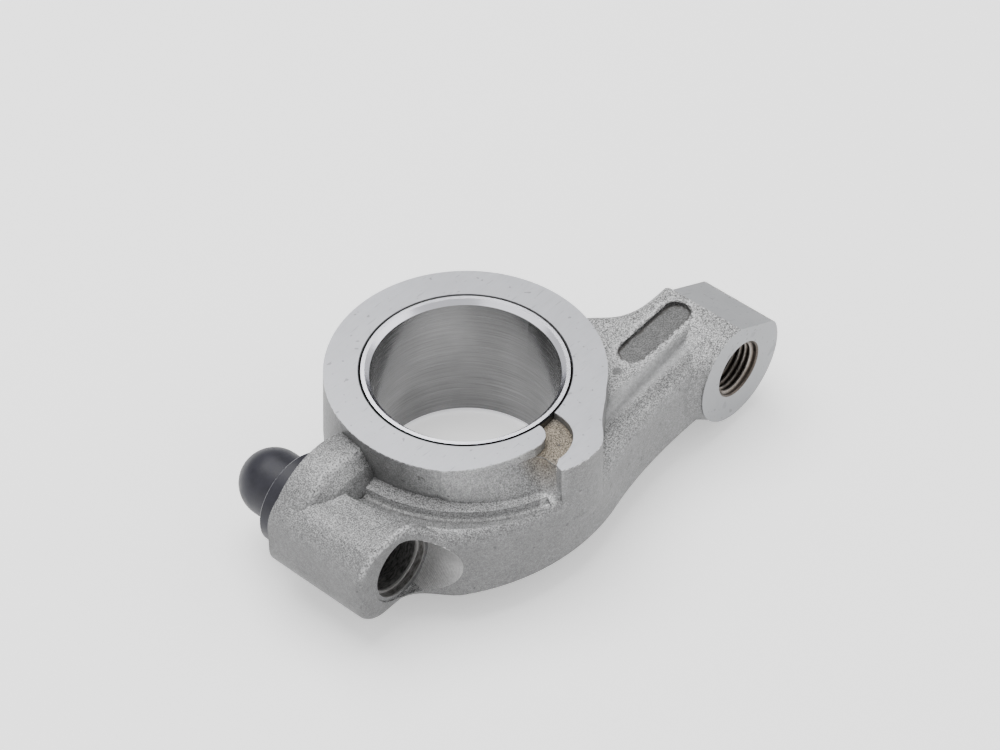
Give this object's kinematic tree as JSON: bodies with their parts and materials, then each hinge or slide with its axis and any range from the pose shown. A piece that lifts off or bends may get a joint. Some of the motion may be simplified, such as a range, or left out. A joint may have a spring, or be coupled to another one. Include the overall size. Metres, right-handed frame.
{
  "type": "rocker arm",
  "caption": "Engine rocker arm: a lever with a bushed hub bore, a threaded boss for the adjusting screw on one arm and a pressed ball-ended pin on the other.",
  "frame": {"origin": "centre of the main bore, at the middle of the hub's width", "axes": "+Z along the main bore; +X along the arm towards the boss of the adjusting screw; +Y the side on which the ball of the pin stands out"},
  "size_m": [0.1065, 0.0612, 0.0306],
  "materials": {
    "cast_body": "shot-blasted casting with machined faces",
    "bearing_shell": "honed bore, faced ends",
    "hardened_pin": "satin black oxide"
  },
  "bodies": {
    "root": {"rocker_body": "cast_body", "bush": "bearing_shell", "ball_pin": "hardened_pin"}
  },
  "joints": []
}
